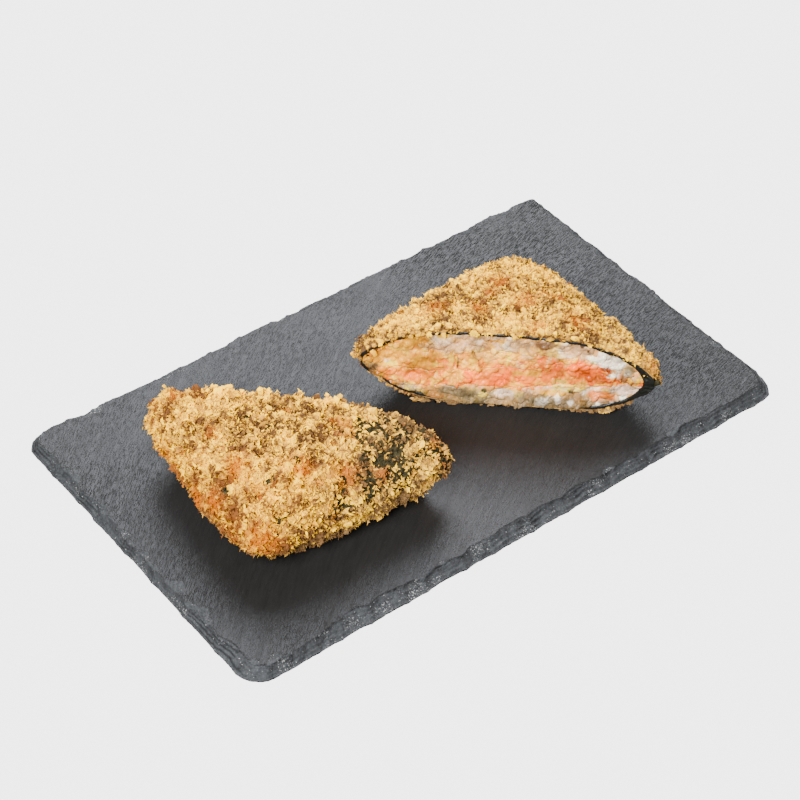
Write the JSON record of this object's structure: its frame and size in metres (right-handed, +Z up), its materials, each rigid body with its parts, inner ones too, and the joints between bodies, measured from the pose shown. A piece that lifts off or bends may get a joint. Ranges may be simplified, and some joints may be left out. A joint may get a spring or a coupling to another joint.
{
  "type": "fried sushi sandwich on slate board",
  "caption": "Breaded square of nori, rice and salmon cut corner to corner, its halves apart on a chipped slate board: one shows the crust, the other its cut face.",
  "frame": {"origin": "middle of the slate board's underside", "axes": "+X along the board's long edge, with the half that shows its cut on the +X side, +Y along the short edge away from the viewer, +Z up"},
  "size_m": [0.2512, 0.1512, 0.0451],
  "materials": {
    "slate": "split slate, dark blue grey, matte with a faint sheen along the grain",
    "crust": "fried breadcrumb, golden, rough and dry",
    "nori": "toasted seaweed sheet, greenish black, slightly glossy where moist",
    "rice": "cooked rice, off-white, moist",
    "salmon": "cooked salmon, coral pink, moist",
    "cream": "pale yellow creamy filling, moist",
    "cucumber": "pale green cucumber, moist"
  },
  "bodies": {
    "root": {"slate_board": "slate", "right_half_crust": "crust", "right_half_nori": "nori", "right_half_rice_base": "rice", "right_half_salmon": "salmon", "right_half_cream": "cream", "right_half_rice_top": "rice", "right_half_cucumber_1": "cucumber", "right_half_cucumber_2": "cucumber", "left_half_crust": "crust", "left_half_nori": "nori", "left_half_rice_base": "rice", "left_half_salmon": "salmon", "left_half_cream": "cream", "left_half_rice_top": "rice", "left_half_cucumber_1": "cucumber", "left_half_cucumber_2": "cucumber"}
  },
  "joints": []
}
